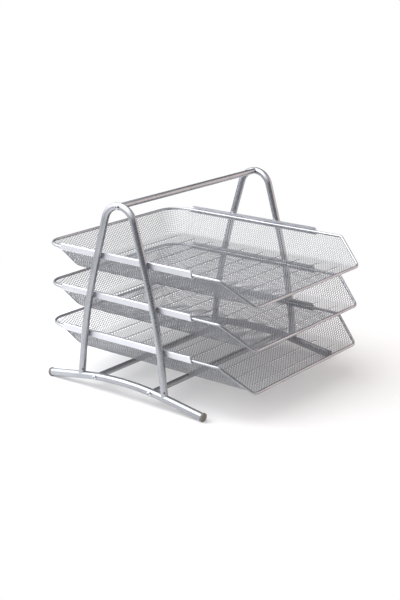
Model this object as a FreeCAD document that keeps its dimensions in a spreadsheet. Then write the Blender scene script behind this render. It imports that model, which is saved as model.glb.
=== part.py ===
import FreeCAD, Part
import math
import os
import Sketcher
from FreeCAD import Placement, Rotation, Vector

# Three-tier document tray: three pressed-mesh letter trays that slide on channel rails
# between two bent-tube side frames. Lengths are in millimetres and angles in degrees.
# The front, with the trays' low lips, faces -Y; the table is z = 0.

os.makedirs("parts", exist_ok=True)
doc = FreeCAD.newDocument("document_tray")
sizes = doc.addObject("Spreadsheet::Sheet", "sizes")

DRIVING_SIZES = [
    # side frames, one bent tube each, seen from the side
    ("frame_half_width", 155.5),  # middle of the stand to the centre plane of a side frame
    ("leg_diameter", 10.0),
    ("tube_wall", 1.0),  # wall of every tube in the stand
    ("arch_height", 269.7),  # tube centre at the top of the arch
    ("arch_radius", 26.0),  # bend of the arch, on the tube's centre
    ("knee_height", 117.0),  # where the upper and lower run of a leg would cross
    ("knee_half_spread", 64.1),
    ("knee_radius", 800.0),
    ("foot_half_spread", 75.6),  # leg's centre where it meets the base tube
    ("vent_diameter", 2.6),  # drain hole low in each leg
    ("vent_height", 10.1),  # above the end of the leg's centre line
    # base tubes, bowed up in the middle and sloping down to the table at both ends
    ("base_diameter", 11.0),
    ("base_half_length", 140.2),  # to the outer face of the end caps
    ("base_forward", 2.7),  # middle of a base tube in front of the side frames' centre plane
    ("base_bend_reach", 40.0),  # where the level and the sloping run would cross
    ("base_bend_radius", 470.0),
    ("base_slope", 9.1),
    # end caps
    ("cap_diameter", 12.6),
    ("cap_thickness", 3.6),
    ("cap_round", 1.3),
    ("cap_flat", 0.35),  # worn flat where a cap stands on the table
    ("cap_plug_length", 9.0),
    ("plug_clearance", 0.05),
    # handle and cross bars, with a threaded insert in each end
    ("bar_diameter", 8.0),
    ("cross_bar_reach", 50.0),  # each cross bar from the middle of the base tubes
    ("insert_length", 14.0),
    ("insert_setback", 0.5),
    ("insert_clearance", 0.05),
    # button-head socket screws
    ("thread_diameter", 4.0),
    ("thread_clearance", 0.05),
    ("screw_hole_clearance", 0.2),
    ("screw_length", 20.0),
    ("screw_head_diameter", 7.6),
    ("screw_head_height", 2.2),
    ("screw_head_round", 1.9),
    ("socket_width", 2.5),
    ("socket_depth", 1.4),
    # rails, open channels of folded sheet
    ("rail_thickness", 1.0),
    ("rail_height", 9.5),
    ("rail_lip_depth", 4.0),
    ("rail_flange_depth", 6.5),
    ("rail_half_length", 118.0),  # along the bottom flange
    ("rail_end_cut", 4.5),  # by which the top lip is shorter at each end
    ("rail_fold_radius", 0.5),  # inside of the folds
    ("top_rail_height", 195.2),  # middle of the top pair of rails
    ("tier_pitch", 58.5),
    # tray rims, one bent wire each, measured on the wire's centre
    ("wire_diameter", 4.2),
    ("side_clearance", 0.45),  # rim to rail, each side
    ("rest_clearance", 0.3),  # rim above the rail's flange
    ("rim_back_reach", 152.0),  # from the side frames' centre plane
    ("rim_corner_radius", 33.0),
    ("rim_bend_reach", 159.6),
    ("rim_bend_radius", 8.0),
    ("rim_front_reach", 202.0),
    ("rim_front_half_width", 125.5),
    ("rim_front_radius", 10.0),
    # tray meshes, pressed sheet
    ("tray_depth", 32.5),  # rim wire's centre to the middle of the floor sheet
    ("mesh_thickness", 0.8),
    ("mesh_side_gap", 0.2),  # sheet to the rim wire along the sides and the back
    ("mesh_trim_gap", 0.1),  # where the front edge is trimmed to the rim wire
    ("mesh_floor_radius", 28.0),  # rear corners of the floor
    ("mesh_edge_radius", 8.0),  # where the walls turn into the floor
    ("rib_radius", 1.4),
    ("rib_half_length", 103.0),
    ("rib_pitch", 32.0),
    ("rib_count", 10),
    ("rib_rear_reach", 105.0),  # rearmost rib from the side frames' centre plane
    # coarse grid of openings that stands for the sheet's fine diamond mesh
    ("opening_columns", 12),  # across the floor
    ("opening_strip", 4.5),  # sheet left between two openings
    ("opening_rib_strip", 8.0),  # sheet left along each rib, and in line with it on the walls
    ("opening_below_rim", 5.0),  # rim wire's centre to the openings in the walls
    ("opening_above_floor", 6.5),  # middle of the floor sheet to the openings in the walls
    # joints between pieces that touch
    ("weld_gap", 0.05),
    ("cut_margin", 12.0),  # by which a cutting shape runs past what it cuts
]

for row, (alias, number) in enumerate(DRIVING_SIZES, start=1):
    sizes.set(f"A{row}", alias)
    sizes.set(f"B{row}", str(number))
    sizes.setAlias(f"B{row}", alias)
doc.recompute()

# Places and sizes that follow from the driving ones, written as expressions.
FRAME_Y = "((sizes.rim_front_reach - sizes.rim_back_reach) / 2)"
BASE_Y = f"({FRAME_Y} - sizes.base_forward)"
CAP_CORE_RADIUS = "(sizes.cap_diameter / 2 - sizes.cap_round)"
BASE_END_HEIGHT = (
    f"({CAP_CORE_RADIUS} * cos(sizes.base_slope) + sizes.cap_round * (1 - sin(sizes.base_slope))"
    " - sizes.cap_flat)"
)
BASE_HEIGHT = (
    f"({BASE_END_HEIGHT} + (sizes.base_half_length - sizes.base_bend_reach) * tan(sizes.base_slope))"
)
FOOT_HEIGHT = (
    f"({BASE_END_HEIGHT} + (sizes.base_half_length - sizes.foot_half_spread - sizes.base_forward)"
    " * tan(sizes.base_slope))"
)
BASE_LEVEL_REACH = "(sizes.base_bend_reach - sizes.base_bend_radius * tan(sizes.base_slope / 2))"
CROSS_BAR_HEIGHT = (
    f"({BASE_HEIGHT} - sizes.base_bend_radius"
    " + sqrt(sizes.base_bend_radius * sizes.base_bend_radius"
    f" - (sizes.cross_bar_reach - {BASE_LEVEL_REACH}) * (sizes.cross_bar_reach - {BASE_LEVEL_REACH})))"
)
TUBE_END_REACH = "(sizes.base_half_length - sizes.cap_thickness * cos(sizes.base_slope))"
TUBE_END_HEIGHT = f"({BASE_END_HEIGHT} + sizes.cap_thickness * sin(sizes.base_slope))"
RAIL_FACE_X = "(sizes.frame_half_width - sizes.leg_diameter / 2 - sizes.weld_gap)"
RIM_HALF_WIDTH = (
    f"({RAIL_FACE_X} - sizes.rail_thickness - sizes.side_clearance - sizes.wire_diameter / 2)"
)
WIRE_ABOVE_RAIL_MIDDLE = (
    "(sizes.rail_thickness + sizes.rest_clearance + sizes.wire_diameter / 2 - sizes.rail_height / 2)"
)
TRAY_TAPER = f"({RIM_HALF_WIDTH} - sizes.rim_front_half_width)"
HALF_SHEET_ACROSS = (
    f"(sizes.mesh_thickness / 2 * sqrt(1 + ({TRAY_TAPER} / sizes.tray_depth) * "
    f"({TRAY_TAPER} / sizes.tray_depth)))"
)
MESH_INSET = f"(sizes.wire_diameter / 2 + sizes.mesh_side_gap + {HALF_SHEET_ACROSS})"
FLOOR_HALF_WIDTH = f"(sizes.rim_front_half_width - {MESH_INSET})"
OPENING_PITCH = f"(2 * ({FLOOR_HALF_WIDTH} - sizes.mesh_edge_radius) / sizes.opening_columns)"
BACK_HALF_COUNT = (
    f"floor(({FLOOR_HALF_WIDTH} - sizes.mesh_floor_radius + sizes.opening_strip) / {OPENING_PITCH})"
)
SIDE_COUNT = "floor((sizes.rim_bend_reach + sizes.rib_rear_reach) / sizes.rib_pitch)"

SIDES = {"left": -1, "right": 1}
ENDS = {"front": -1, "rear": 1}
TIERS = ["top", "middle", "bottom"]

nodes = []


def value(expression):
    """Number that an expression gives with the present sizes."""
    result = sizes.evalExpression(expression)
    return float(getattr(result, "Value", result))


def new_body(name):
    """Empty body for one piece."""
    body = doc.addObject("PartDesign::Body", name)
    body.Label = name
    return body


def origin_feature(body, role):
    """Origin plane or axis of a body, by its role."""
    return next(item for item in body.Origin.OriginFeatures if item.Role == role)


def new_sketch(body, name, role, lift=None):
    """Sketch on one of its body's origin planes, lifted along the plane's normal."""
    sketch = body.newObject("Sketcher::SketchObject", name)
    sketch.AttachmentSupport = (origin_feature(body, role), "")
    sketch.MapMode = "FlatFace"
    if lift:
        sketch.setExpression(".AttachmentOffset.Base.z", lift)
    return sketch


def dimension(sketch, kind, targets, expression):
    """One dimension that takes its size from an expression."""
    constraint = Sketcher.Constraint(kind, *targets, value(expression))
    index = sketch.addConstraint(constraint)
    name = f"size{index}"
    sketch.renameConstraint(index, name)
    sketch.setExpression(f"Constraints.{name}", expression)


def locate(sketch, geometry, end, across, up):
    """Fix one point of a sketch at a place given by two expressions."""
    if across == "0":
        sketch.addConstraint(Sketcher.Constraint("PointOnObject", geometry, end, -2))
    else:
        dimension(sketch, "DistanceX", (-1, 1, geometry, end), across)
    if up == "0":
        sketch.addConstraint(Sketcher.Constraint("PointOnObject", geometry, end, -1))
    else:
        dimension(sketch, "DistanceY", (-1, 1, geometry, end), up)


def add_circle(sketch, across, up, radius):
    """Circle whose centre and radius come from expressions."""
    centre = Vector(value(across), value(up), 0)
    circle = sketch.addGeometry(Part.Circle(centre, Vector(0, 0, 1), value(radius)), False)
    locate(sketch, circle, 3, across, up)
    dimension(sketch, "Radius", (circle,), radius)


def add_arc(sketch, corner, before, after, radius):
    """Arc of a rounded corner; gives its index and its ends towards the two lines."""
    back = (before - corner).normalize()
    ahead = (after - corner).normalize()
    half_angle = back.getAngle(ahead) / 2
    centre = corner + (back + ahead).normalize() * (radius / math.sin(half_angle))
    reach = radius / math.tan(half_angle)
    first = corner + back * reach - centre
    second = corner + ahead * reach - centre
    turns_left = (back * -1).cross(ahead).z > 0
    if not turns_left:
        first, second = second, first
    start = math.atan2(first.y, first.x)
    stop = math.atan2(second.y, second.x)
    circle = Part.Circle(centre, Vector(0, 0, 1), radius)
    arc = sketch.addGeometry(Part.ArcOfCircle(circle, start, stop), False)
    return (arc, 1, 2) if turns_left else (arc, 2, 1)


def add_outline(sketch, corners, closed=True):
    """Straight edges through corners (across, up, radius or None), with tangent arcs between."""
    points = [Vector(value(across), value(up), 0) for across, up, _ in corners]
    radii = [value(radius) if radius else 0.0 for _, _, radius in corners]
    count = len(points)
    edge_count = count if closed else count - 1

    def trimmed(index, towards):
        if not radii[index]:
            return points[index]
        back = (points[index - 1] - points[index]).normalize()
        ahead = (points[(index + 1) % count] - points[index]).normalize()
        reach = radii[index] / math.tan(back.getAngle(ahead) / 2)
        return points[index] + (points[towards] - points[index]).normalize() * reach

    lines = []
    for index in range(edge_count):
        following = (index + 1) % count
        edge = Part.LineSegment(trimmed(index, following), trimmed(following, index))
        lines.append(sketch.addGeometry(edge, False))

    for index, (across, up, radius) in enumerate(corners):
        if not closed and index == 0:
            locate(sketch, lines[0], 1, across, up)
            continue
        if not closed and index == count - 1:
            locate(sketch, lines[-1], 2, across, up)
            continue
        before = lines[index - 1]
        after = lines[index]
        if not radius:
            sketch.addConstraint(Sketcher.Constraint("Coincident", before, 2, after, 1))
            locate(sketch, after, 1, across, up)
            continue
        following = points[(index + 1) % count]
        arc, near, far = add_arc(sketch, points[index], points[index - 1], following, radii[index])
        sketch.addConstraint(Sketcher.Constraint("Tangent", before, 2, arc, near))
        sketch.addConstraint(Sketcher.Constraint("Tangent", after, 1, arc, far))
        dimension(sketch, "Radius", (arc,), radius)
        corner = sketch.addGeometry(Part.Point(points[index]), True)
        sketch.addConstraint(Sketcher.Constraint("PointOnObject", corner, 1, before))
        sketch.addConstraint(Sketcher.Constraint("PointOnObject", corner, 1, after))
        locate(sketch, corner, 1, across, up)


def through_pocket(body, sketch, name, length=None):
    """Cut a sketch through the body both ways, or only over a length centred on its plane."""
    pocket = body.newObject("PartDesign::Pocket", name)
    pocket.Profile = sketch
    pocket.SideType = "Symmetric"
    if length:
        pocket.Type = "Length"
        pocket.setExpression("Length", length)
    else:
        pocket.Type = "ThroughAll"
    body.Tip = pocket
    return pocket


def mirrored_half(body, feature):
    """Complete a piece whose front half has been made."""
    mirrored = body.newObject("PartDesign::Mirrored", "both_halves")
    mirrored.Originals = [feature]
    mirrored.MirrorPlane = (origin_feature(body, "XZ_Plane"), [""])
    body.Tip = mirrored


def pipe_body(name, path_maker, height, radius, bore=None):
    """Bent tube or rod: half of it follows a path, and the other half mirrors it."""
    body = new_body(name)
    path = new_sketch(body, "path", "YZ_Plane")
    path_maker(path)
    section = new_sketch(body, "section", "XZ_Plane")
    add_circle(section, "0", height, radius)
    if bore:
        add_circle(section, "0", height, bore)
    pipe = body.newObject("PartDesign::AdditivePipe", "half_tube")
    pipe.Profile = section
    pipe.Spine = path
    body.Tip = pipe
    mirrored_half(body, pipe)
    return body


def place_at_side(piece, side, y):
    """Put a piece made about a side frame's centre in its place on one side of the stand."""
    piece.setExpression("Placement.Base.x", f"{side} * sizes.frame_half_width")
    piece.setExpression("Placement.Base.y", y)


def cut_away(name, base, tools):
    """Piece that remains when other shapes are taken off it."""
    group = doc.addObject("Part::Compound", f"{name}_cutters")
    group.Links = tools
    cut = doc.addObject("Part::Cut", name)
    cut.Label = name
    cut.Base = base
    cut.Tool = group
    cut.Refine = True
    return cut


def mirror_copy(name, source, normal):
    """Copy of a piece on the other side of the stand, or at the other end of the base tubes."""
    copy = doc.addObject("Part::Mirroring", name)
    copy.Source = source
    copy.Normal = normal
    copy.setExpression("Base.y", BASE_Y)
    return copy


def base_path(sketch):
    """Front half of a base tube: a long bend, then sloping down to the table."""
    add_outline(
        sketch,
        [
            ("0", BASE_HEIGHT, None),
            ("-sizes.base_bend_reach", BASE_HEIGHT, "sizes.base_bend_radius"),
            (f"-{TUBE_END_REACH}", TUBE_END_HEIGHT, None),
        ],
        closed=False,
    )


def leg_path(sketch):
    """Front half of a side frame: a quarter of the arch, the upper run, the knee and the foot."""
    top = value("sizes.arch_height")
    arch = value("sizes.arch_radius")
    knee_radius = value("sizes.knee_radius")
    knee = Vector(-value("sizes.knee_half_spread"), value("sizes.knee_height"), 0)
    foot = Vector(-value("sizes.foot_half_spread"), value(FOOT_HEIGHT), 0)
    centre = Vector(0, top - arch, 0)
    to_knee = knee - centre
    lean = math.atan2(to_knee.y, to_knee.x) - math.acos(arch / to_knee.Length)
    leave = centre + Vector(math.cos(lean), math.sin(lean), 0) * arch
    knee_turn = (knee - leave).getAngle(foot - knee)
    reach = knee_radius * math.tan(knee_turn / 2)
    knee_start = knee - (knee - leave).normalize() * reach
    knee_end = knee + (foot - knee).normalize() * reach

    circle = Part.Circle(centre, Vector(0, 0, 1), arch)
    quarter = sketch.addGeometry(Part.ArcOfCircle(circle, math.pi / 2, lean % (2 * math.pi)), False)
    upper = sketch.addGeometry(Part.LineSegment(leave, knee_start), False)
    lower = sketch.addGeometry(Part.LineSegment(knee_end, foot), False)
    bend, near, far = add_arc(sketch, knee, leave, foot, knee_radius)

    sketch.addConstraint(Sketcher.Constraint("PointOnObject", quarter, 3, -2))
    locate(sketch, quarter, 1, "0", "sizes.arch_height")
    dimension(sketch, "Radius", (quarter,), "sizes.arch_radius")
    sketch.addConstraint(Sketcher.Constraint("Tangent", quarter, 2, upper, 1))
    sketch.addConstraint(Sketcher.Constraint("Tangent", upper, 2, bend, near))
    sketch.addConstraint(Sketcher.Constraint("Tangent", lower, 1, bend, far))
    dimension(sketch, "Radius", (bend,), "sizes.knee_radius")
    corner = sketch.addGeometry(Part.Point(knee), True)
    sketch.addConstraint(Sketcher.Constraint("PointOnObject", corner, 1, upper))
    sketch.addConstraint(Sketcher.Constraint("PointOnObject", corner, 1, lower))
    locate(sketch, corner, 1, "-sizes.knee_half_spread", "sizes.knee_height")
    locate(sketch, lower, 2, "-sizes.foot_half_spread", FOOT_HEIGHT)


def base_space(name, side):
    """Space that a base tube takes up, with the gap for the weld, for the foot of a leg."""
    body = pipe_body(name, base_path, BASE_HEIGHT, "sizes.base_diameter / 2 + sizes.weld_gap")
    place_at_side(body, side, BASE_Y)
    return body


def bend_space(name, side, bend_radius, tube_diameter, y, height):
    """Ring round the bend of a tube, with the gap for the weld, for the end of a bar."""
    ring = doc.addObject("Part::Torus", name)
    ring.setExpression("Radius1", bend_radius)
    ring.setExpression("Radius2", f"{tube_diameter} / 2 + sizes.weld_gap")
    ring.Placement = Placement(Vector(0, 0, 0), Rotation(Vector(0, 1, 0), 90))
    place_at_side(ring, side, y)
    ring.setExpression("Placement.Base.z", f"{height} - {bend_radius}")
    return ring


def base_tube(name, side):
    """Bottom tube of a side frame, with holes for the two cross-bar screws."""
    outer = "sizes.base_diameter / 2"
    body = pipe_body(name, base_path, BASE_HEIGHT, outer, f"{outer} - sizes.tube_wall")
    holes = new_sketch(body, "screw_holes", "YZ_Plane")
    for end in ENDS.values():
        hole_radius = "sizes.thread_diameter / 2 + sizes.screw_hole_clearance"
        add_circle(holes, f"{end} * sizes.cross_bar_reach", CROSS_BAR_HEIGHT, hole_radius)
    through_pocket(body, holes, "screw_hole_cut")
    place_at_side(body, side, BASE_Y)
    nodes.append(body)


def vent_drill(name, side, end):
    """Cylinder that drills the drain hole, from outside and from the front, into one leg."""
    drill = doc.addObject("Part::Cylinder", name)
    lean = f"((sizes.foot_half_spread - sizes.knee_half_spread) / (sizes.knee_height - {FOOT_HEIGHT}))"
    drill.setExpression("Radius", "sizes.vent_diameter / 2")
    drill.setExpression("Height", "sizes.leg_diameter")
    facing_front_and_out = Rotation(Vector(0, 0, 1), Vector(side, -1, 0))
    drill.Placement = Placement(Vector(0, 0, 0), facing_front_and_out)
    leg_y = f"{end} * (sizes.foot_half_spread - sizes.vent_height * {lean})"
    place_at_side(drill, side, f"{FRAME_Y} + {leg_y}")
    drill.setExpression("Placement.Base.z", f"{FOOT_HEIGHT} + sizes.vent_height")
    return drill


def side_frame(name, side, base_envelope):
    """Arch and legs bent from one tube, cut to sit on the base tube."""
    outer = "sizes.leg_diameter / 2"
    body = pipe_body(f"{name}_tube", leg_path, "sizes.arch_height", outer, f"{outer} - sizes.tube_wall")
    hole = new_sketch(body, "screw_hole", "YZ_Plane")
    add_circle(hole, "0", "sizes.arch_height", "sizes.thread_diameter / 2 + sizes.screw_hole_clearance")
    through_pocket(body, hole, "screw_hole_cut")
    place_at_side(body, side, FRAME_Y)
    drills = [vent_drill(f"{name}_{end}_vent", side, sign) for end, sign in ENDS.items()]
    nodes.append(cut_away(name, body, [base_envelope] + drills))


def table_block():
    """Block below the table's top, which cuts the caps flat where they stand."""
    block = doc.addObject("Part::Box", "below_table")
    half_width = "(sizes.frame_half_width + sizes.cap_diameter)"
    half_length = "(sizes.base_half_length + sizes.cut_margin)"
    block.setExpression("Length", f"2 * {half_width}")
    block.setExpression("Width", f"2 * {half_length}")
    block.setExpression("Height", "sizes.cut_margin")
    block.setExpression("Placement.Base.x", f"-{half_width}")
    block.setExpression("Placement.Base.y", f"{BASE_Y} - {half_length}")
    block.setExpression("Placement.Base.z", "-sizes.cut_margin")
    return block


def end_cap(name, side, end, below_table):
    """Moulded plug with a rounded flange; its axis follows the sloping tube."""
    body = new_body(f"{name}_moulding")
    profile = new_sketch(body, "profile", "XY_Plane")
    plug_radius = "(sizes.base_diameter / 2 - sizes.tube_wall - sizes.plug_clearance)"
    add_outline(
        profile,
        [
            ("0", "-sizes.cap_thickness", None),
            ("sizes.cap_diameter / 2", "-sizes.cap_thickness", "sizes.cap_round"),
            ("sizes.cap_diameter / 2", "-sizes.weld_gap", None),
            (plug_radius, "-sizes.weld_gap", None),
            (plug_radius, "sizes.cap_plug_length", None),
            ("0", "sizes.cap_plug_length", None),
        ],
    )
    turned = body.newObject("PartDesign::Revolution", "turned")
    turned.Profile = profile
    turned.ReferenceAxis = (origin_feature(body, "Y_Axis"), [""])
    turned.Angle = 360
    body.Tip = turned
    tilt = "sizes.base_slope" if end < 0 else "180 - sizes.base_slope"
    body.Placement = Placement(Vector(0, 0, 0), Rotation(Vector(1, 0, 0), value(tilt)))
    body.setExpression("Placement.Rotation.Angle", tilt)
    place_at_side(body, side, f"{BASE_Y} + {end} * {TUBE_END_REACH}")
    body.setExpression("Placement.Base.z", TUBE_END_HEIGHT)
    nodes.append(cut_away(name, body, [below_table]))


def cross_tube(name, y, height, spaces):
    """Straight tube between the side frames, its ends cut to fit round what it meets."""
    body = new_body(f"{name}_tube")
    section = new_sketch(body, "section", "YZ_Plane")
    add_circle(section, "0", "0", "sizes.bar_diameter / 2")
    add_circle(section, "0", "0", "sizes.bar_diameter / 2 - sizes.tube_wall")
    pad = body.newObject("PartDesign::Pad", "length")
    pad.Profile = section
    pad.SideType = "Symmetric"
    pad.setExpression("Length", "2 * sizes.frame_half_width")
    body.Tip = pad
    body.setExpression("Placement.Base.y", y)
    body.setExpression("Placement.Base.z", height)
    nodes.append(cut_away(name, body, spaces))


def left_insert(name, y, height, side_tube_diameter):
    """Threaded insert pressed into the left end of a bar."""
    body = new_body(name)
    section = new_sketch(body, "section", "YZ_Plane")
    add_circle(section, "0", "0", "sizes.bar_diameter / 2 - sizes.tube_wall - sizes.insert_clearance")
    add_circle(section, "0", "0", "sizes.thread_diameter / 2 + sizes.thread_clearance")
    pad = body.newObject("PartDesign::Pad", "length")
    pad.Profile = section
    pad.setExpression("Length", "sizes.insert_length")
    body.Tip = pad
    end_x = f"(sizes.frame_half_width - {side_tube_diameter} / 2 - sizes.insert_setback)"
    body.setExpression("Placement.Base.x", f"-{end_x}")
    body.setExpression("Placement.Base.y", y)
    body.setExpression("Placement.Base.z", height)
    return body


def left_screw(name, y, height, side_tube_diameter):
    """Button-head socket screw put in from the left, its shank along +X."""
    body = new_body(name)
    profile = new_sketch(body, "profile", "XZ_Plane")
    head = "sizes.screw_head_diameter / 2"
    shank = "sizes.thread_diameter / 2"
    add_outline(
        profile,
        [
            ("-sizes.screw_head_height", "0", None),
            ("sizes.screw_length", "0", None),
            ("sizes.screw_length", shank, None),
            ("0", shank, None),
            ("0", head, None),
            ("-sizes.screw_head_height", head, "sizes.screw_head_round"),
        ],
    )
    turned = body.newObject("PartDesign::Revolution", "turned")
    turned.Profile = profile
    turned.ReferenceAxis = (origin_feature(body, "X_Axis"), [""])
    turned.Angle = 360
    socket = new_sketch(body, "socket", "YZ_Plane", "-sizes.screw_head_height")
    half_flat = "sizes.socket_width / 2"
    corner = f"{half_flat} / cos(30)"
    add_outline(
        socket,
        [
            (corner, "0", None),
            (f"{corner} / 2", half_flat, None),
            (f"-{corner} / 2", half_flat, None),
            (f"-{corner}", "0", None),
            (f"-{corner} / 2", f"-{half_flat}", None),
            (f"{corner} / 2", f"-{half_flat}", None),
        ],
    )
    pocket = body.newObject("PartDesign::Pocket", "socket_cut")
    pocket.Profile = socket
    pocket.Type = "Length"
    pocket.Reversed = True
    pocket.setExpression("Length", "sizes.socket_depth")
    body.Tip = pocket
    bearing_x = f"(sizes.frame_half_width + {side_tube_diameter} / 2 + sizes.weld_gap)"
    body.setExpression("Placement.Base.x", f"-{bearing_x}")
    body.setExpression("Placement.Base.y", y)
    body.setExpression("Placement.Base.z", height)
    return body


def fastener_group(name, piece, four):
    """The same fastener at both ends of a bar, or of both cross bars."""
    group = doc.addObject("Part::Compound", name if not four else f"{name}_pair")
    group.Links = [piece, mirror_copy(f"{name}_right", piece, Vector(1, 0, 0))]
    if four:
        pair = group
        group = doc.addObject("Part::Compound", name)
        group.Links = [pair, mirror_copy(f"{name}_rear", pair, Vector(0, 1, 0))]
    group.Label = name
    nodes.append(group)


def rail(name, side, tier):
    """Folded channel, open towards the trays, its ends cut back towards the top."""
    body = new_body(name)
    profile = new_sketch(body, "profile", "XZ_Plane")
    inward = -side
    half = "sizes.rail_height / 2"
    sheet = "sizes.rail_thickness"
    outer_fold = "(sizes.rail_fold_radius + sizes.rail_thickness)"
    inner_fold = "sizes.rail_fold_radius"
    add_outline(
        profile,
        [
            ("0", f"-{half}", outer_fold),
            (f"{inward} * sizes.rail_flange_depth", f"-{half}", None),
            (f"{inward} * sizes.rail_flange_depth", f"-{half} + {sheet}", None),
            (f"{inward} * {sheet}", f"-{half} + {sheet}", inner_fold),
            (f"{inward} * {sheet}", f"{half} - {sheet}", inner_fold),
            (f"{inward} * sizes.rail_lip_depth", f"{half} - {sheet}", None),
            (f"{inward} * sizes.rail_lip_depth", half, None),
            ("0", half, outer_fold),
        ],
    )
    pad = body.newObject("PartDesign::Pad", "length")
    pad.Profile = profile
    pad.SideType = "Symmetric"
    pad.setExpression("Length", "2 * sizes.rail_half_length")
    ends = new_sketch(body, "slanted_ends", "YZ_Plane")
    slope = "sizes.rail_end_cut / sizes.rail_height * sizes.cut_margin"
    for end in ENDS.values():
        add_outline(
            ends,
            [
                (f"{end} * (sizes.rail_half_length + {slope})", f"-{half} - sizes.cut_margin", None),
                (f"{end} * (sizes.rail_half_length - sizes.rail_end_cut - {slope})",
                 f"{half} + sizes.cut_margin", None),
                (f"{end} * (sizes.rail_half_length + {slope})", f"{half} + sizes.cut_margin", None),
            ],
        )
    through_pocket(body, ends, "slanted_end_cut")
    body.setExpression("Placement.Base.x", f"{side} * {RAIL_FACE_X}")
    body.setExpression("Placement.Base.y", FRAME_Y)
    body.setExpression("Placement.Base.z", f"sizes.top_rail_height - {tier} * sizes.tier_pitch")
    nodes.append(body)


def rounded_run(points, radii):
    """Wire of straight runs through the points, with a tangent arc at each inner point."""
    edges = []
    start = points[0]
    for index in range(1, len(points) - 1):
        corner = points[index]
        back = (points[index - 1] - corner).normalize()
        ahead = (points[index + 1] - corner).normalize()
        half_angle = back.getAngle(ahead) / 2
        radius = radii[index - 1]
        reach = radius / math.tan(half_angle)
        bisector = (back + ahead).normalize()
        middle = corner + bisector * (radius / math.sin(half_angle) - radius)
        first = corner + back * reach
        second = corner + ahead * reach
        edges.append(Part.LineSegment(start, first).toShape())
        edges.append(Part.Arc(first, middle, second).toShape())
        start = second
    edges.append(Part.LineSegment(start, points[-1]).toShape())
    return Part.Wire(edges)


def rim_shape(radius):
    """Closed rim: level round the back and sides, bent down and in to the low front run."""
    half_width = value(RIM_HALF_WIDTH)
    back = value("sizes.rim_back_reach")
    bend = -value("sizes.rim_bend_reach")
    front = -value("sizes.rim_front_reach")
    front_half_width = value("sizes.rim_front_half_width")
    drop = -value("sizes.tray_depth")
    path = rounded_run(
        [
            Vector(0, back, 0),
            Vector(half_width, back, 0),
            Vector(half_width, bend, 0),
            Vector(front_half_width, front, drop),
            Vector(0, front, drop),
        ],
        [
            value("sizes.rim_corner_radius"),
            value("sizes.rim_bend_radius"),
            value("sizes.rim_front_radius"),
        ],
    )
    section = Part.Wire(Part.Circle(Vector(0, back, 0), Vector(1, 0, 0), radius).toShape())
    half = path.makePipeShell([section], True, False)
    other_half = half.mirror(Vector(0, 0, 0), Vector(1, 0, 0))
    return half.fuse(other_half).removeSplitter()


def place_tray_piece(piece, tier):
    """Put a piece made about its rim wire's level in its tier."""
    piece.setExpression("Placement.Base.y", FRAME_Y)
    height = f"sizes.top_rail_height - {tier} * sizes.tier_pitch + {WIRE_ABOVE_RAIL_MIDDLE}"
    piece.setExpression("Placement.Base.z", height)


def tray_rim(name, tier):
    """Bent and butt-welded wire round the top of a tray."""
    rim = doc.addObject("Part::Feature", name)
    rim.Label = name
    rim.Shape = rim_shape(value("sizes.wire_diameter / 2"))
    place_tray_piece(rim, tier)
    nodes.append(rim)


def pan_outline(sketch, level, shift):
    """Tray's outline at a level below the rim, moved out or in by half the sheet."""
    narrowing = f"({TRAY_TAPER} * {level} / sizes.tray_depth)"
    half_width = f"({RIM_HALF_WIDTH} - {MESH_INSET} - {narrowing} + {shift})"
    back = f"(sizes.rim_back_reach - {MESH_INSET} - {narrowing} + {shift})"
    front = "-(sizes.rim_front_reach + sizes.cut_margin)"
    rim_radius = f"(sizes.rim_corner_radius - {MESH_INSET})"
    radius = (
        f"({rim_radius} + (sizes.mesh_floor_radius - {rim_radius}) * {level} / sizes.tray_depth + {shift})"
    )
    add_outline(
        sketch,
        [
            (f"-{half_width}", front, None),
            (half_width, front, None),
            (half_width, back, radius),
            (f"-{half_width}", back, radius),
        ],
    )


def floor_edges(shape, level):
    """Names of the edges round the floor, apart from the front one that is cut off."""
    front = -value("sizes.rim_front_reach + sizes.cut_margin / 2")
    tolerance = 0.01
    names = []
    for index, edge in enumerate(shape.Edges, start=1):
        box = edge.BoundBox
        level_edge = box.ZMax < level + tolerance and box.ZMin > level - tolerance
        if level_edge and box.YMax > front:
            names.append(f"Edge{index}")
    return names


def pan_solid(name, side_of_sheet):
    """Solid bounded by the outside (1) or the inside (-1) of the tray's pressed sheet."""
    body = new_body(name)
    depth = f"(sizes.tray_depth + {side_of_sheet} * sizes.mesh_thickness / 2)"
    shift = f"{side_of_sheet} * {HALF_SHEET_ACROSS}"
    rim_outline = new_sketch(body, "outline_at_rim", "XY_Plane")
    pan_outline(rim_outline, "0", shift)
    floor_outline = new_sketch(body, "outline_at_floor", "XY_Plane", f"-{depth}")
    pan_outline(floor_outline, depth, shift)
    loft = body.newObject("PartDesign::AdditiveLoft", "walls")
    loft.Profile = rim_outline
    loft.Sections = [floor_outline]
    body.Tip = loft
    doc.recompute()

    rounding = body.newObject("PartDesign::Fillet", "floor_rounding")
    rounding.Base = (loft, floor_edges(loft.Shape, -value(depth)))
    edge_radius = f"sizes.mesh_edge_radius + {side_of_sheet} * sizes.mesh_thickness / 2"
    rounding.setExpression("Radius", edge_radius)
    body.Tip = rounding

    rib_section = new_sketch(body, "rib_section", "YZ_Plane")
    rib_radius = f"sizes.rib_radius - {side_of_sheet} * sizes.mesh_thickness / 2"
    add_circle(rib_section, "sizes.rib_rear_reach", "-sizes.tray_depth", rib_radius)
    rib = through_pocket(body, rib_section, "rearmost_rib", "2 * sizes.rib_half_length")
    ribs = body.newObject("PartDesign::LinearPattern", "ribs")
    ribs.Originals = [rib]
    ribs.Direction = (origin_feature(body, "Y_Axis"), [""])
    ribs.Reversed = True
    ribs.setExpression("Occurrences", "sizes.rib_count")
    ribs.setExpression("Length", "sizes.rib_pitch * (sizes.rib_count - 1)")
    body.Tip = ribs
    return body


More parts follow.
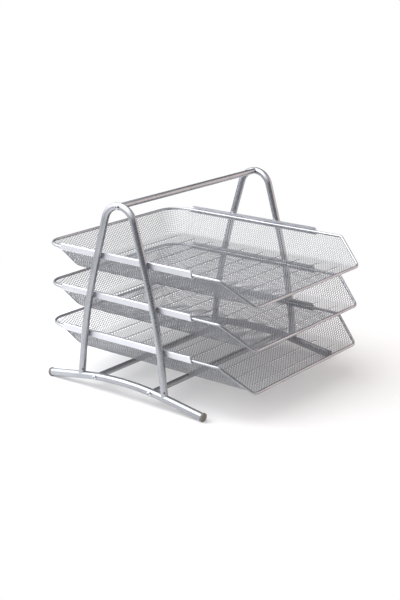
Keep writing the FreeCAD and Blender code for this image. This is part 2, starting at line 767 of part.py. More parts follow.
def front_cut():
    """Block that takes off what lies above the slanted runs and the front run of the rim."""
    body = new_body("front_cut")
    section = new_sketch(body, "section", "YZ_Plane")
    slant = "((sizes.rim_front_reach - sizes.rim_bend_reach) / sizes.tray_depth)"
    margin = "sizes.cut_margin"
    far = "-(sizes.rim_front_reach + 3 * sizes.cut_margin)"
    low = f"-(sizes.tray_depth + {margin})"
    add_outline(
        section,
        [
            (f"-(sizes.rim_bend_reach - {slant} * {margin})", margin, None),
            (far, margin, None),
            (far, low, None),
            (f"-(sizes.rim_front_reach + {slant} * {margin})", low, None),
        ],
    )
    pad = body.newObject("PartDesign::Pad", "block")
    pad.Profile = section
    pad.SideType = "Symmetric"
    pad.setExpression("Length", "2 * sizes.frame_half_width")
    body.Tip = pad
    return body


def opening_blocks(name, plane, across, up, steps):
    """Blocks through a grid of openings: the first one, repeated along one or two axes."""
    body = new_body(name)
    body.AllowCompound = True
    section = new_sketch(body, "first_opening", plane)
    add_outline(
        section,
        [
            (across[0], up[0], None),
            (across[1], up[0], None),
            (across[1], up[1], None),
            (across[0], up[1], None),
        ],
    )
    block = body.newObject("PartDesign::Pad", "block")
    block.Profile = section
    block.SideType = "Symmetric"
    block.setExpression("Length", "2 * (sizes.rim_front_reach + sizes.cut_margin)")
    body.Tip = block
    grid = body.newObject("PartDesign::LinearPattern", "grid")
    grid.Originals = [block]
    for suffix, (axis, backwards, count, pitch) in zip(("", "2"), steps):
        setattr(grid, f"Direction{suffix}", (origin_feature(body, axis), [""]))
        setattr(grid, f"Reversed{suffix}", backwards)
        grid.setExpression(f"Occurrences{suffix}", count)
        grid.setExpression(f"Length{suffix}", f"{pitch} * ({count} - 1)")
    body.Tip = grid
    return body


def mesh_openings():
    """Blocks that cut the grid of openings in the floor, the side walls and the back wall."""
    half_strip = "sizes.opening_strip / 2"
    width = f"({OPENING_PITCH} - sizes.opening_strip)"
    floor_left = f"(-{OPENING_PITCH} * sizes.opening_columns / 2 + {half_strip})"
    back_left = f"(-{OPENING_PITCH} * {BACK_HALF_COUNT} + {half_strip})"
    rear = "(sizes.rib_rear_reach - sizes.opening_rib_strip / 2)"
    bay = (f"({rear} - sizes.rib_pitch + sizes.opening_rib_strip)", rear)
    level = ("(sizes.opening_above_floor - sizes.tray_depth)", "-sizes.opening_below_rim")
    along_floor = ("Y_Axis", True, "(sizes.rib_count - 1)", "sizes.rib_pitch")
    along_side = ("Y_Axis", True, SIDE_COUNT, "sizes.rib_pitch")
    across_floor = ("X_Axis", False, "sizes.opening_columns", OPENING_PITCH)
    across_back = ("X_Axis", False, f"(2 * {BACK_HALF_COUNT})", OPENING_PITCH)
    floor_column = (floor_left, f"({floor_left} + {width})")
    back_column = (back_left, f"({back_left} + {width})")
    return [
        opening_blocks("floor_openings", "XY_Plane", floor_column, bay, [across_floor, along_floor]),
        opening_blocks("side_openings", "YZ_Plane", bay, level, [along_side]),
        opening_blocks("back_openings", "XZ_Plane", back_column, level, [across_back]),
    ]


def pressed_sheet():
    """Pressed sheet of a tray: floor with ribs, two side walls and a back, open at the front."""
    rim_space = doc.addObject("Part::Feature", "rim_space")
    rim_space.Shape = rim_shape(value("sizes.wire_diameter / 2 + sizes.mesh_trim_gap"))
    pan = cut_away("plain_pan", pan_solid("pan_outside", 1), [pan_solid("pan_inside", -1)])
    trimmed_pan = cut_away("trimmed_pan", pan, [front_cut(), rim_space])
    return cut_away("pressed_sheet", trimmed_pan, mesh_openings())


def tray_mesh(name, tier, sheet):
    """The pressed sheet in one tier."""
    mesh = doc.addObject("Part::Compound", name)
    mesh.Label = name
    mesh.Links = [sheet]
    place_tray_piece(mesh, tier)
    nodes.append(mesh)


def build_stand():
    """Side frames, base tubes with their caps, handle, cross bars and fasteners."""
    below_table = table_block()
    for word, side in SIDES.items():
        side_frame(f"{word}_side_frame", side, base_space(f"{word}_base_space", side))
        base_tube(f"{word}_base_tube", side)
        for end_word, end in ENDS.items():
            end_cap(f"{end_word}_{word}_end_cap", side, end, below_table)

    arch = ("sizes.arch_radius", "sizes.leg_diameter", FRAME_Y, "sizes.arch_height")
    arches = [bend_space(f"{word}_arch_space", side, *arch) for word, side in SIDES.items()]
    cross_tube("handle_bar", FRAME_Y, "sizes.arch_height", arches)
    for end_word, end in ENDS.items():
        bend_y = f"{BASE_Y} + {end} * {BASE_LEVEL_REACH}"
        bend = ("sizes.base_bend_radius", "sizes.base_diameter", bend_y, BASE_HEIGHT)
        bends = [bend_space(f"{end_word}_{word}_bend_space", side, *bend) for word, side in SIDES.items()]
        bar_y = f"{BASE_Y} + {end} * sizes.cross_bar_reach"
        cross_tube(f"{end_word}_cross_bar", bar_y, CROSS_BAR_HEIGHT, bends)

    handle_place = (FRAME_Y, "sizes.arch_height", "sizes.leg_diameter")
    cross_place = (f"{BASE_Y} - sizes.cross_bar_reach", CROSS_BAR_HEIGHT, "sizes.base_diameter")
    fastener_group("handle_inserts", left_insert("handle_insert", *handle_place), four=False)
    fastener_group("handle_screws", left_screw("handle_screw", *handle_place), four=False)
    fastener_group("cross_bar_inserts", left_insert("cross_bar_insert", *cross_place), four=True)
    fastener_group("cross_bar_screws", left_screw("cross_bar_screw", *cross_place), four=True)


def build_tiers():
    """Rails and trays, from the top tier down."""
    sheet = pressed_sheet()
    for tier, word in enumerate(TIERS):
        for side_word, side in SIDES.items():
            rail(f"{word}_{side_word}_rail", side, tier)
        tray_rim(f"{word}_tray_rim", tier)
        tray_mesh(f"{word}_tray_mesh", tier, sheet)


def check_and_write():
    """Stop on any failed object or bad shape, then write one file for each piece."""
    doc.recompute()
    for item in doc.Objects:
        if "Invalid" in item.State or "Error" in item.State:
            raise RuntimeError(f"{item.Label} failed: {item.State}")
    for node in nodes:
        if node.Shape.isNull() or not node.Shape.isValid() or not node.Shape.Solids:
            raise RuntimeError(f"{node.Label} has no valid shape")
        box = node.Shape.BoundBox
        print(
            f"{node.Label}: {len(node.Shape.Solids)} solid, {node.Shape.Volume / 1000:.2f} cm3, "
            f"x {box.XMin:.1f} to {box.XMax:.1f}, y {box.YMin:.1f} to {box.YMax:.1f}, "
            f"z {box.ZMin:.1f} to {box.ZMax:.1f}"
        )
    for node in nodes:
        node.Shape.exportStep(f"parts/{node.Label}.step")


build_stand()
build_tiers()
check_and_write()
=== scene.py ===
import math

import bpy
import numpy as np
from mathutils import Matrix, Vector


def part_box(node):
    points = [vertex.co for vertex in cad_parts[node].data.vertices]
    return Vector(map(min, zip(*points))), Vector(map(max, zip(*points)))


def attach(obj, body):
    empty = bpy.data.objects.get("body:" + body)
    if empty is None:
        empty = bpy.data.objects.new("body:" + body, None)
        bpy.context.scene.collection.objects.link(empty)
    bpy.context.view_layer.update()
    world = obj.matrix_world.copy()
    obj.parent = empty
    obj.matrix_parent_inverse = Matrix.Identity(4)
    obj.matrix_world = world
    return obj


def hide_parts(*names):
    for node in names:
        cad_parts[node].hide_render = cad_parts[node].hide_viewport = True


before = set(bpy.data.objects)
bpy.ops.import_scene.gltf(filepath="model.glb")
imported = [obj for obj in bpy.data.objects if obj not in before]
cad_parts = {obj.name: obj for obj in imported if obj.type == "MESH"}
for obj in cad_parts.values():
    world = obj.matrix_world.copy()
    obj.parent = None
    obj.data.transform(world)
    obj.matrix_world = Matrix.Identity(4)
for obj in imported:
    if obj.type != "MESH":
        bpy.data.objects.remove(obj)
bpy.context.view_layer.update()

# Side frames
# Two arches of mild steel tube, 10 mm outside, each bent in one plane with its legs
# spreading towards the feet. The ends are coped, welded on the base tube and powder coated.

MM = 0.001


def linear_colour(code):
    """Linear RGBA of an sRGB hex value."""
    parts = [int(code[i:i + 2], 16) / 255 for i in (1, 3, 5)]
    linear = [p / 12.92 if p <= 0.04045 else ((p + 0.055) / 1.055) ** 2.4 for p in parts]
    return (*linear, 1.0)


def add_node(tree, kind, settings=None, links=None):
    """Adds a node. settings maps sockets or properties to values, links maps sockets to outputs."""
    node = tree.nodes.new(kind)
    for name, setting in (settings or {}).items():
        if isinstance(name, int) or name in node.inputs:
            node.inputs[name].default_value = setting
        else:
            setattr(node, name, setting)
    for name, output in (links or {}).items():
        tree.links.new(output, node.inputs[name])
    return node


def new_material(name):
    """A material without nodes, its node tree and the object's own coordinates."""
    material = bpy.data.materials.new(name)
    material.use_nodes = True
    tree = material.node_tree
    tree.nodes.clear()
    place = add_node(tree, "ShaderNodeTexCoord").outputs["Object"]
    return material, tree, place


# The flake is under 0.1 mm on the real coat, and is drawn coarser so that it shows. The
# film itself is a little darker here and lighter there over a few centimetres.
FLAKE_SIZE = 0.35 * MM
FLAKE_WEIGHT = 0.35
FILM_DRIFT = 38 * MM
PEEL_HEIGHT = 0.03 * MM


def silver_powder_coat(name, light, dark, roughness, peel_size=1.4, metallic=0.82):
    """Silver powder coat: metal flake in a satin film whose orange peel is peel_size mm wide."""
    material, tree, place = new_material(name)
    flake = add_node(
        tree, "ShaderNodeTexNoise",
        {"Scale": 1 / FLAKE_SIZE, "Detail": 2.0, "Roughness": 0.6}, {"Vector": place},
    )
    film = add_node(
        tree, "ShaderNodeTexNoise",
        {"Scale": 1 / FILM_DRIFT, "Detail": 3.0, "Roughness": 0.5}, {"Vector": place},
    )
    both = add_node(
        tree, "ShaderNodeMath", {"operation": "MULTIPLY_ADD", 1: FLAKE_WEIGHT},
        {0: flake.outputs["Fac"], 2: film.outputs["Fac"]},
    )
    spread = add_node(
        tree, "ShaderNodeMapRange",
        {"From Min": 0.45, "From Max": 0.9, "To Min": 0.0, "To Max": 1.0},
        {"Value": both.outputs[0]},
    )
    tone = add_node(
        tree, "ShaderNodeMix",
        {"data_type": "RGBA", 6: linear_colour(dark), 7: linear_colour(light)},
        {0: spread.outputs[0]},
    )
    satin = add_node(
        tree, "ShaderNodeMapRange",
        {"From Min": 0.3, "From Max": 0.7, "To Min": roughness - 0.05, "To Max": roughness + 0.06},
        {"Value": flake.outputs["Fac"]},
    )
    peel = add_node(
        tree, "ShaderNodeTexNoise",
        {"Scale": 1 / (peel_size * MM), "Detail": 1.5, "Roughness": 0.45}, {"Vector": place},
    )
    bump = add_node(
        tree, "ShaderNodeBump", {"Strength": 0.12, "Distance": PEEL_HEIGHT},
        {"Height": peel.outputs["Fac"]},
    )
    shader = add_node(
        tree, "ShaderNodeBsdfPrincipled", {"Metallic": metallic},
        {"Base Color": tone.outputs[2], "Roughness": satin.outputs[0], "Normal": bump.outputs[0]},
    )
    add_node(tree, "ShaderNodeOutputMaterial", {}, {"Surface": shader.outputs[0]})
    return material


def dress(node, material):
    """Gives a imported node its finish."""
    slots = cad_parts[node].data.materials
    slots.clear()
    slots.append(material)


# Satin silver that takes in the room as soft streaks along the tube and never as a mirror.
tube_coat = silver_powder_coat("silver_powder_coat_on_tube", "#aaacb0", "#989a9f", 0.25)
SIDES = ("left", "right")
for side in SIDES:
    dress(f"{side}_side_frame", tube_coat)

# Base tubes
# The same coated steel in 11 mm tube, bent to a low bow that is highest between the legs
# and comes down to the table at both ends, where the caps carry the weight.

for side in SIDES:
    dress(f"{side}_base_tube", tube_coat)

# End caps
# Caps moulded in grey polyethylene and pushed into the ends of the base tubes. Their flats
# stand on the table and keep the steel off it.

# The spark grain of the mould is nearer 0.1 mm, and is drawn coarser so that it shows.
ERODED_GRAIN = 0.3 * MM
ERODED_HEIGHT = 0.02 * MM
FLOW_SIZE = 4 * MM


def moulded_plastic(name, light, dark, roughness):
    """Moulded plastic: an even colour with faint flow marks and a fine eroded grain."""
    material, tree, place = new_material(name)
    flow = add_node(
        tree, "ShaderNodeTexNoise",
        {"Scale": 1 / FLOW_SIZE, "Detail": 3.0, "Distortion": 0.8}, {"Vector": place},
    )
    tone = add_node(
        tree, "ShaderNodeMix",
        {"data_type": "RGBA", 6: linear_colour(dark), 7: linear_colour(light)},
        {0: flow.outputs["Fac"]},
    )
    eroded = add_node(
        tree, "ShaderNodeTexNoise", {"Scale": 1 / ERODED_GRAIN, "Detail": 2.0}, {"Vector": place},
    )
    bump = add_node(
        tree, "ShaderNodeBump", {"Strength": 0.3, "Distance": ERODED_HEIGHT},
        {"Height": eroded.outputs["Fac"]},
    )
    shader = add_node(
        tree, "ShaderNodeBsdfPrincipled", {"Roughness": roughness, "IOR": 1.51},
        {"Base Color": tone.outputs[2], "Normal": bump.outputs[0]},
    )
    add_node(tree, "ShaderNodeOutputMaterial", {}, {"Surface": shader.outputs[0]})
    return material


# Warm grey, soft and matt, so the caps stay darker and duller than the steel beside them.
cap_plastic = moulded_plastic("moulded_grey_polyethylene", "#77716a", "#68635c", 0.5)
for end in ("front", "rear"):
    for side in SIDES:
        dress(f"{end}_{side}_end_cap", cap_plastic)

# Handle and cross bars
# Straight 8 mm tubes between the side frames, coped to sit on the tubes they meet and
# pulled up by a screw at each end. The handle is the one that is gripped.

for bar in ("handle_bar", "front_cross_bar", "rear_cross_bar"):
    dress(bar, tube_coat)

# Threaded inserts
# Plugs turned from steel bar, bored for the screws and pressed into both ends of the handle
# and of the cross bars. They are left plain.

RING_HEIGHT = 0.01 * MM
# The wave texture repeats after this many of its own units.
WAVE_REPEAT = 0.314


def bright_steel(name, colour, roughness, ring_pitch):
    """Bright steel with the fine rings that turning or rolling leaves, ring_pitch mm apart."""
    material, tree, place = new_material(name)
    rings = add_node(
        tree, "ShaderNodeTexWave",
        {"wave_type": "BANDS", "bands_direction": "X",
         "Scale": WAVE_REPEAT / (ring_pitch * MM), "Distortion": 0.6},
        {"Vector": place},
    )
    satin = add_node(
        tree, "ShaderNodeMapRange",
        {"To Min": roughness - 0.05, "To Max": roughness + 0.08}, {"Value": rings.outputs["Fac"]},
    )
    bump = add_node(
        tree, "ShaderNodeBump", {"Strength": 0.15, "Distance": RING_HEIGHT},
        {"Height": rings.outputs["Fac"]},
    )
    shader = add_node(
        tree, "ShaderNodeBsdfPrincipled", {"Base Color": linear_colour(colour), "Metallic": 1.0},
        {"Roughness": satin.outputs[0], "Normal": bump.outputs[0]},
    )
    add_node(tree, "ShaderNodeOutputMaterial", {}, {"Surface": shader.outputs[0]})
    return material


# Bare steel, darker and yellower than the coat. Its rings are as fine as a lathe leaves
# them, so that they spread the shine and don't show one by one.
turned_steel = bright_steel("turned_steel", "#b9b6b0", 0.3, ring_pitch=0.157)
for group in ("handle_inserts", "cross_bar_inserts"):
    dress(group, turned_steel)

# Screws
# M4 screws with a button head and a socket, headed cold from steel wire and zinc plated.
# Each goes through a tube of the frame into the insert behind it.

# A thin plate that is sharper than the coat, so each head shows as a small bright ring.
zinc_plate = bright_steel("bright_zinc_plate", "#c9cacd", 0.2, ring_pitch=0.2512)
for group in ("handle_screws", "cross_bar_screws"):
    dress(group, zinc_plate)

# Rails
# Channels folded from 1 mm sheet steel, one on each side of a tier, welded to the legs and
# coated with them. The rim of a tray runs in each pair.

# The same coat as on the tubes, lying smoother on flat sheet. Its colour is painted paler to stand
# in for the bright reflection of the floor and the lamp on the rails, so the outer face is one even
# bright band.
rail_coat_painted_paler = silver_powder_coat(
    "silver_powder_coat_on_sheet_painted_paler", "#d3d4d9", "#c8c9ce", 0.36, peel_size=1.8,
)
TIERS = ("top", "middle", "bottom")
for tier in TIERS:
    for side in SIDES:
        dress(f"{tier}_{side}_rail", rail_coat_painted_paler)

# Tray rims
# One bent ring of 4.2 mm wire for each tray, butt welded at the back. It dips at the front
# to let a hand in, and its sides slide in the rails.

# The same silver, but so narrow that the eye gets one bright and one dark line from it.
wire_coat = silver_powder_coat("silver_powder_coat_on_wire", "#acadb1", "#9a9ba0", 0.26)
for tier in TIERS:
    dress(f"{tier}_tray_rim", wire_coat)

# Tray meshes
# Expanded steel sheet pressed into a pan: diamond holes 6 mm long and 3.8 mm across, ten
# ribs pressed across the floor, and cut edges that are spot welded under the rim wire.

scene = bpy.context.scene

# The pan: its floor, walls and rounded corners, the slanted cut at the front, and the wire.
WIRE_RADIUS = 2.1 * MM
RIM_BACK_REACH = 152 * MM
FLOOR_HALF_WIDTH = 122.72 * MM
FLOOR_BACK = 127.82 * MM
FLOOR_RADIUS = 28 * MM
RIM_RADIUS = 30.2 * MM
WALL_TAPER = 21.4 * MM
TRAY_DEPTH = 32.5 * MM
EDGE_RADIUS = 8 * MM
CUT_TOP_REACH = 159.6 * MM
CUT_FLOOR_REACH = 202 * MM
FRONT_WIRE_CLEARANCE = 2.2 * MM
FRONT_WIRE_HEIGHT = 6 * MM
WALL_ANGLE = math.atan2(TRAY_DEPTH, WALL_TAPER)
WALL_LENGTH = math.hypot(TRAY_DEPTH, WALL_TAPER)
EDGE_REACH = EDGE_RADIUS * math.tan(WALL_ANGLE / 2)
CORNER_X = FLOOR_HALF_WIDTH - FLOOR_RADIUS
CORNER_Y = FLOOR_BACK - FLOOR_RADIUS
CORNER_SHIFT = WALL_TAPER - (RIM_RADIUS - FLOOR_RADIUS)

# The ribs, from the rearmost to the front.
RIB_PITCH = 32 * MM
RIB_REAR = 105 * MM
RIB_COUNT = 10
RIB_HALF_LENGTH = 103 * MM
RIB_HALF_WIDTH = 2.6 * MM
RIB_HEIGHT = 2.4 * MM
RIB_RUN_OUT = 4 * MM

# The expanded sheet. The hole of a cell is the cell itself at HOLE_SHARE of its size, and
# stretching has tipped the strands, whose edges stand STRAND_TWIST off the sheet's middle.
ROWS_PER_RIB = 17
HALF_LONG = 3 * MM
HALF_SHORT = RIB_PITCH / ROWS_PER_RIB
SHEET = 0.3 * MM
STRAND_TWIST = -0.1 * MM
HOLE_SHARE = 0.76


def beyond_corner(x, y):
    """How far points lie past the middles of the round corners, and if they are past both."""
    beyond_x, beyond_y = np.abs(x) - CORNER_X, y - CORNER_Y
    return beyond_x, beyond_y, (beyond_x > 0) & (beyond_y > 0)


def past_floor_edge(x, y):
    """Distance of a point of the flat sheet outside the floor's outline."""
    beyond_x, beyond_y, corner = beyond_corner(x, y)
    round_corner = np.hypot(beyond_x, beyond_y)
    return np.where(corner, round_corner, np.maximum(beyond_x, beyond_y)) - FLOOR_RADIUS


def wall_profile(reach):
    """Outward step, height and slope of the pressed section at a distance past the edge."""
    turn = np.clip((reach + EDGE_REACH) / (2 * EDGE_REACH), 0, 1) * WALL_ANGLE
    bent = reach < EDGE_REACH
    bend_step, wall_step = EDGE_RADIUS * np.sin(turn) - EDGE_REACH, reach * math.cos(WALL_ANGLE)
    step = np.where(reach < -EDGE_REACH, reach, np.where(bent, bend_step, wall_step))
    height = np.where(bent, EDGE_RADIUS * (1 - np.cos(turn)), reach * math.sin(WALL_ANGLE))
    return step, height, turn


def front_limit(height):
    """Y where the slanted front cut meets the sheet at a height above the floor."""
    slant = (CUT_FLOOR_REACH - CUT_TOP_REACH) / TRAY_DEPTH
    clear_of_wire = FRONT_WIRE_CLEARANCE * np.clip(1 - height / FRONT_WIRE_HEIGHT, 0, 1)
    return -CUT_FLOOR_REACH + height * slant + clear_of_wire


def trimmed(x, y):
    """The point moved on to the sheet's edge if it is past it, and whether it was."""
    excess = np.maximum(past_floor_edge(x, y) - WALL_LENGTH, 0)
    beyond_x, beyond_y, corner = beyond_corner(x, y)
    length = np.maximum(np.hypot(beyond_x, beyond_y), MM)
    share_x = np.where(corner, beyond_x / length, beyond_x > beyond_y)
    share_y = np.where(corner, beyond_y / length, beyond_x <= beyond_y)
    kept_x = np.sign(x) * (np.abs(x) - excess * share_x)
    kept_y = y - excess * share_y
    height = wall_profile(past_floor_edge(kept_x, kept_y))[1]
    limit = front_limit(height)
    outside = (excess > 0) | (kept_y < limit)
    return kept_x, np.maximum(kept_y, limit), outside


def rib_lift(x, y):
    """Height of the pressed ribs above the floor."""
    number = np.clip(np.round((RIB_REAR - y) / RIB_PITCH), 0, RIB_COUNT - 1)
    across = np.clip(np.abs(y - RIB_REAR + number * RIB_PITCH) / RIB_HALF_WIDTH, 0, 1)
    end = np.clip((RIB_HALF_LENGTH - np.abs(x)) / RIB_RUN_OUT, 0, 1)
    return RIB_HEIGHT * np.cos(across * math.pi / 2) ** 2 * end


def pressed(x, y, lift):
    """Place on the pan of points of the flat sheet, lifted off its middle by so much."""
    reach = past_floor_edge(x, y)
    step, height, turn = wall_profile(reach)
    risen = np.maximum(step, 0) / WALL_TAPER
    shift = CORNER_SHIFT * risen
    radius = FLOOR_RADIUS + np.where(step < 0, step, (RIM_RADIUS - FLOOR_RADIUS) * risen)
    quarter = radius * math.pi / 2
    beyond_x, beyond_y, corner = beyond_corner(x, y)
    share = np.arctan2(np.maximum(beyond_y, 0), np.maximum(beyond_x, 0)) / (math.pi / 2)
    along = share * (2 * shift + quarter)
    angle = np.clip((along - shift) / radius, 0, math.pi / 2)
    corner_x = CORNER_X + shift + radius * np.cos(angle)
    corner_x -= np.maximum(along - shift - quarter, 0)
    corner_y = CORNER_Y + shift + radius * np.sin(angle) - np.maximum(shift - along, 0)
    by_side = beyond_x > beyond_y
    place_x = np.where(corner, corner_x, np.where(by_side, FLOOR_HALF_WIDTH + step, np.abs(x)))
    place_y = np.where(corner, corner_y, np.where(by_side, y, FLOOR_BACK + step))
    flat = reach < -EDGE_REACH
    place_x, place_y = np.where(flat, np.abs(x), place_x), np.where(flat, y, place_y)
    out_x = np.where(corner, np.cos(angle), by_side)
    out_y = np.where(corner, np.sin(angle), ~by_side)
    inward = lift * np.sin(turn)
    place_x = np.sign(x) * (place_x - inward * out_x)
    place_y = place_y - inward * out_y
    risen_here = np.where(flat, lift + rib_lift(x, y), lift * np.cos(turn))
    return np.stack([place_x, place_y, height - TRAY_DEPTH + risen_here], axis=1)


def expanded_sheet(name, wanted):
    """Mesh of the cells whose reach past the floor's edge is wanted, in the tray's own frame.

    A cell is one diamond. Its four corners are the bonds where strands meet, shared with
    the cells beside it, and every cell is three rings of faces around its own hole.
    """
    margin = 2
    across = int((FLOOR_HALF_WIDTH + WALL_LENGTH) / HALF_LONG) + margin
    ahead = int((FLOOR_BACK + WALL_LENGTH - RIB_REAR) / HALF_SHORT) + margin
    behind = int((CUT_FLOOR_REACH + RIB_REAR) / HALF_SHORT) + margin
    column, row = np.meshgrid(
        np.arange(-across, across + 1), np.arange(-behind, ahead + 1), indexing="ij",
    )
    staggered = (column + row) % 2 == 1
    column, row = column[staggered], row[staggered]
    middle_x, middle_y = column * HALF_LONG, RIB_REAR + row * HALF_SHORT
    inside = ~trimmed(middle_x, middle_y)[2] & wanted(past_floor_edge(middle_x, middle_y))
    column, row = column[inside], row[inside]
    corners = ((1, 0), (0, 1), (-1, 0), (0, -1))
    # A bond's key holds its column and its row in one number.
    first_column, first_row = -across - margin, -behind - margin
    row_count = behind + ahead + 2 * margin
    keys = np.stack(
        [(column + dx - first_column) * row_count + row + dy - first_row for dx, dy in corners],
        axis=1,
    )
    bonds, cell_bonds = np.unique(keys, return_inverse=True)
    cell_bonds = cell_bonds.reshape(keys.shape)
    bond_x = (bonds // row_count + first_column) * HALF_LONG
    bond_y = RIB_REAR + (bonds % row_count + first_row) * HALF_SHORT
    bond_x, bond_y, _ = trimmed(bond_x, bond_y)
    hole_x, hole_y = (
        (HOLE_SHARE * corner + (1 - HOLE_SHARE) * corner.mean(axis=1, keepdims=True)).ravel()
        for corner in (bond_x[cell_bonds], bond_y[cell_bonds])
    )
    twist = np.tile([-dy * STRAND_TWIST for dx, dy in corners], len(column))
    half = SHEET / 2
    places = [pressed(bond_x, bond_y, side * half) for side in (1, -1)]
    places += [pressed(hole_x, hole_y, side * half + twist) for side in (1, -1)]
    count, holes = len(bonds), len(hole_x)
    faces = []
    seams = {}
    for cell in range(len(column)):
        top = [int(b) for b in cell_bonds[cell]]
        low = [b + count for b in top]
        rim = [2 * count + 4 * cell + n for n in range(4)]
        under = [r + holes for r in rim]
        for n in range(4):
            m = (n + 1) % 4
            faces.append((top[n], top[m], rim[m], rim[n]))
            faces.append((low[m], low[n], under[n], under[m]))
            faces.append((rim[n], rim[m], under[m], under[n]))
            # A side that two cells share is inside the sheet and gets no edge face.
            if seams.pop((top[m], top[n]), None) is None:
                seams[top[n], top[m]] = True
    for first, second in seams:
        faces.append((second, first, first + count, second + count))
    mesh = bpy.data.meshes.new(name)
    mesh.from_pydata(np.concatenate(places).tolist(), [], faces)
    mesh.validate()
    mesh.update()
    return mesh


# The strands are too thin for the flake to mirror anything. Their colour is painted darker than the
# tubes' to stand in for the shade on the strands, so the sheet reads as a dull grey net with the
# light behind showing through its diamonds.
mesh_coat_painted_darker = silver_powder_coat(
    "silver_powder_coat_on_expanded_steel_painted_darker", "#8d8f93", "#7f8186", 0.42, peel_size=0.9,
    metallic=0.1,
)
sheets = {
    "floor": expanded_sheet("pressed_floor", lambda reach: reach < 0),
    "walls": expanded_sheet("pressed_walls", lambda reach: reach >= 0),
}
for sheet in sheets.values():
    sheet.materials.append(mesh_coat_painted_darker)
for tier in TIERS:
    rim_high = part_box(f"{tier}_tray_rim")[1]
    tray_origin = Vector((0, rim_high.y - WIRE_RADIUS - RIM_BACK_REACH, rim_high.z - WIRE_RADIUS))
    for part, sheet in sheets.items():
        piece = bpy.data.objects.new(f"{tier}_tray_mesh_{part}", sheet)
        piece.location = tray_origin
        scene.collection.objects.link(piece)
        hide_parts(f"{tier}_tray_mesh")
        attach(piece, f"{tier}_tray")

# Studio floor
# A sheet of white paper that runs out of sight. Near the tray it keeps the shadow, and
# farther out it turns plain white to the camera and to whatever mirrors it.

PAPER_REACH = 14.0
PAPER_SIDES = 64
SHADOW_REACH = 0.3
WHITE_REACH = 0.7
WHITE_NEAR = 0.22
floor_mesh = bpy.data.meshes.new("studio_floor")
paper_edge = [
    (PAPER_REACH * math.cos(turn), PAPER_REACH * math.sin(turn), 0)
    for turn in np.linspace(0, 2 * math.pi, PAPER_SIDES, endpoint=False)
]
floor_mesh.from_pydata(paper_edge, [], [list(range(PAPER_SIDES))])
studio_floor = bpy.data.objects.new("studio_floor", floor_mesh)
scene.collection.objects.link(studio_floor)

# Uncoated paper, dead matt, on which the shadow lies soft and nothing is mirrored.
floor_paper, tree, place = new_material("white_studio_paper")
away = add_node(tree, "ShaderNodeVectorMath", {"operation": "LENGTH"}, {0: place})
far = add_node(
    tree, "ShaderNodeMapRange",
    {"interpolation_type": "SMOOTHSTEP", "From Min": SHADOW_REACH, "From Max": WHITE_REACH,
     "To Min": WHITE_NEAR, "To Max": 1.0},
    {"Value": away.outputs["Value"]},
)
rays = add_node(tree, "ShaderNodeLightPath")
looked_at = add_node(
    tree, "ShaderNodeMath", {"operation": "MAXIMUM"},
    {0: rays.outputs["Is Camera Ray"], 1: rays.outputs["Is Transmission Ray"]},
)
seen = add_node(
    tree, "ShaderNodeMath", {"operation": "MAXIMUM"},
    {0: looked_at.outputs[0], 1: rays.outputs["Is Glossy Ray"]},
)
whitened = add_node(
    tree, "ShaderNodeMath", {"operation": "MULTIPLY"}, {0: seen.outputs[0], 1: far.outputs[0]},
)
paper = add_node(tree, "ShaderNodeBsdfDiffuse", {"Color": linear_colour("#eaeaea")})
white = add_node(
    tree, "ShaderNodeEmission", {"Color": linear_colour("#ffffff"), "Strength": 1.0},
)
mixed = add_node(
    tree, "ShaderNodeMixShader", {},
    {0: whitened.outputs[0], 1: paper.outputs[0], 2: white.outputs[0]},
)
add_node(tree, "ShaderNodeOutputMaterial", {}, {"Surface": mixed.outputs[0]})
floor_mesh.materials.append(floor_paper)

# Light tent and soft box
# A dome of white cloth and grey card that only light and reflections see: bright high up
# behind on the left, softer overhead and low at the front right, dim elsewhere. The soft
# box inside it gives the shadow its direction.

TENT_RADIUS = 1.1
TENT_SIDES = 48
TENT_LEVELS = 16
world = bpy.data.worlds.new("white_room")
scene.world = world
world.use_nodes = True
world.node_tree.nodes.clear()
room = add_node(
    world.node_tree, "ShaderNodeBackground", {"Color": linear_colour("#ffffff"), "Strength": 1.0},
)
add_node(world.node_tree, "ShaderNodeOutputWorld", {}, {"Surface": room.outputs[0]})

tent_corners = [
    (
        TENT_RADIUS * math.cos(turn) * math.cos(rise),
        TENT_RADIUS * math.sin(turn) * math.cos(rise),
        TENT_RADIUS * math.sin(rise),
    )
    for rise in np.linspace(0, math.pi / 2, TENT_LEVELS, endpoint=False)
    for turn in np.linspace(0, 2 * math.pi, TENT_SIDES, endpoint=False)
]
tent_corners.append((0, 0, TENT_RADIUS))
tent_faces = []
for level in range(TENT_LEVELS):
    low, high = level * TENT_SIDES, (level + 1) * TENT_SIDES
    for n in range(TENT_SIDES):
        m = (n + 1) % TENT_SIDES
        if level == TENT_LEVELS - 1:
            tent_faces.append((low + m, low + n, high))
        else:
            tent_faces.append((low + m, low + n, high + n, high + m))
tent_mesh = bpy.data.meshes.new("studio_tent")
tent_mesh.from_pydata(tent_corners, [], tent_faces)
studio_tent = bpy.data.objects.new("studio_tent", tent_mesh)
scene.collection.objects.link(studio_tent)
studio_tent.visible_camera = False

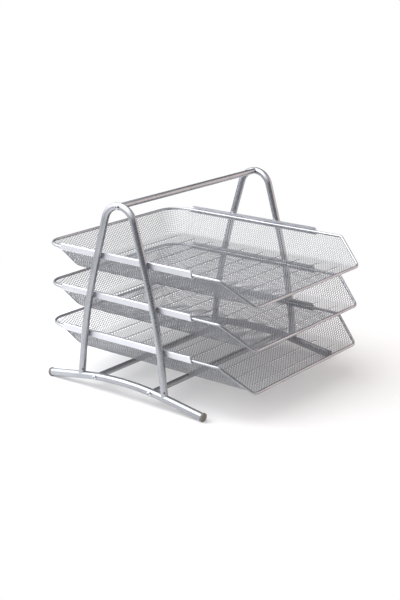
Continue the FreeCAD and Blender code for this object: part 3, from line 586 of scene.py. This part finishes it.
# Cloth lit from outside and grey card between, which give the tubes one broad bright
# streak with a soft edge, and a dark side. Each bright part has its colour, the way to its
# middle, the cosines of the angles off it where it begins and where it is full, and its
# strength.
CARD_COLOUR, CARD_STRENGTH = "#e6eeff", 0.14
BRIGHT_PARTS = (
    ("#fbfcff", (-0.36, 0.5, 0.79), 0.48, 0.95, 2.9),
    ("#fffaf6", (-0.3, 0.0, 1.0), 0.6, 0.92, 1.1),
    ("#ffebe2", (0.75, -0.62, 0.3), 0.72, 0.94, 1.5),
)
tent_cloth, tree, place = new_material("tent_cloth_and_card")
direction = add_node(tree, "ShaderNodeVectorMath", {"operation": "NORMALIZE"}, {0: place})
cloth = add_node(
    tree, "ShaderNodeEmission",
    {"Color": linear_colour(CARD_COLOUR), "Strength": CARD_STRENGTH},
)
for colour, aim, begins, full, strength in BRIGHT_PARTS:
    near = add_node(
        tree, "ShaderNodeVectorMath",
        {"operation": "DOT_PRODUCT", 1: Vector(aim).normalized()}, {0: direction.outputs[0]},
    )
    light = add_node(
        tree, "ShaderNodeMapRange",
        {"interpolation_type": "SMOOTHSTEP", "From Min": begins, "From Max": full,
         "To Min": 0.0, "To Max": strength},
        {"Value": near.outputs["Value"]},
    )
    bright_part = add_node(
        tree, "ShaderNodeEmission", {"Color": linear_colour(colour)},
        {"Strength": light.outputs[0]},
    )
    cloth = add_node(
        tree, "ShaderNodeAddShader", {}, {0: cloth.outputs[0], 1: bright_part.outputs[0]},
    )
add_node(tree, "ShaderNodeOutputMaterial", {}, {"Surface": cloth.outputs[0]})
tent_mesh.materials.append(tent_cloth)

BOX_PLACE = Vector((-0.42, 0.55, 0.68))
BOX_TARGET = Vector((0, 0, 0.1))
BOX_SIDE = 0.45
BOX_POWER = 1.6
lamp = bpy.data.lights.new("soft_box_behind_left", "AREA")
lamp.shape = "RECTANGLE"
lamp.size = BOX_SIDE
lamp.size_y = BOX_SIDE
lamp.energy = BOX_POWER
soft_box = bpy.data.objects.new("soft_box_behind_left", lamp)
soft_box.location = BOX_PLACE
soft_box.rotation_euler = (BOX_TARGET - BOX_PLACE).to_track_quat("-Z", "Y").to_euler()
scene.collection.objects.link(soft_box)

# Camera
# Placed where the photograph was taken from: 52 degrees round to the left of the front and
# 17 degrees above the level, with a long lens.

IMAGE_HEIGHT = 600
FOCAL_PIXELS = 1203.47
AZIMUTH = math.radians(-52.28)
ELEVATION = math.radians(17.33)
ROLL = math.radians(0.19)
DISTANCE = 1743.34 * MM
TARGET = Vector((0, 10.18 * MM, 105.38 * MM))
towards_camera = Vector((
    math.sin(AZIMUTH) * math.cos(ELEVATION),
    -math.cos(AZIMUTH) * math.cos(ELEVATION),
    math.sin(ELEVATION),
))
right = Vector((0, 0, 1)).cross(towards_camera).normalized()
up = towards_camera.cross(right)
right_rolled = math.cos(ROLL) * right + math.sin(ROLL) * up
up_rolled = math.cos(ROLL) * up - math.sin(ROLL) * right
lens = bpy.data.cameras.new("camera")
lens.lens = FOCAL_PIXELS / IMAGE_HEIGHT * lens.sensor_width
camera = bpy.data.objects.new("camera", lens)
axes = Matrix((right_rolled, up_rolled, towards_camera)).transposed()
camera.matrix_world = Matrix.Translation(TARGET + DISTANCE * towards_camera) @ axes.to_4x4()
scene.collection.objects.link(camera)
scene.camera = camera
scene.view_settings.view_transform = "Standard"
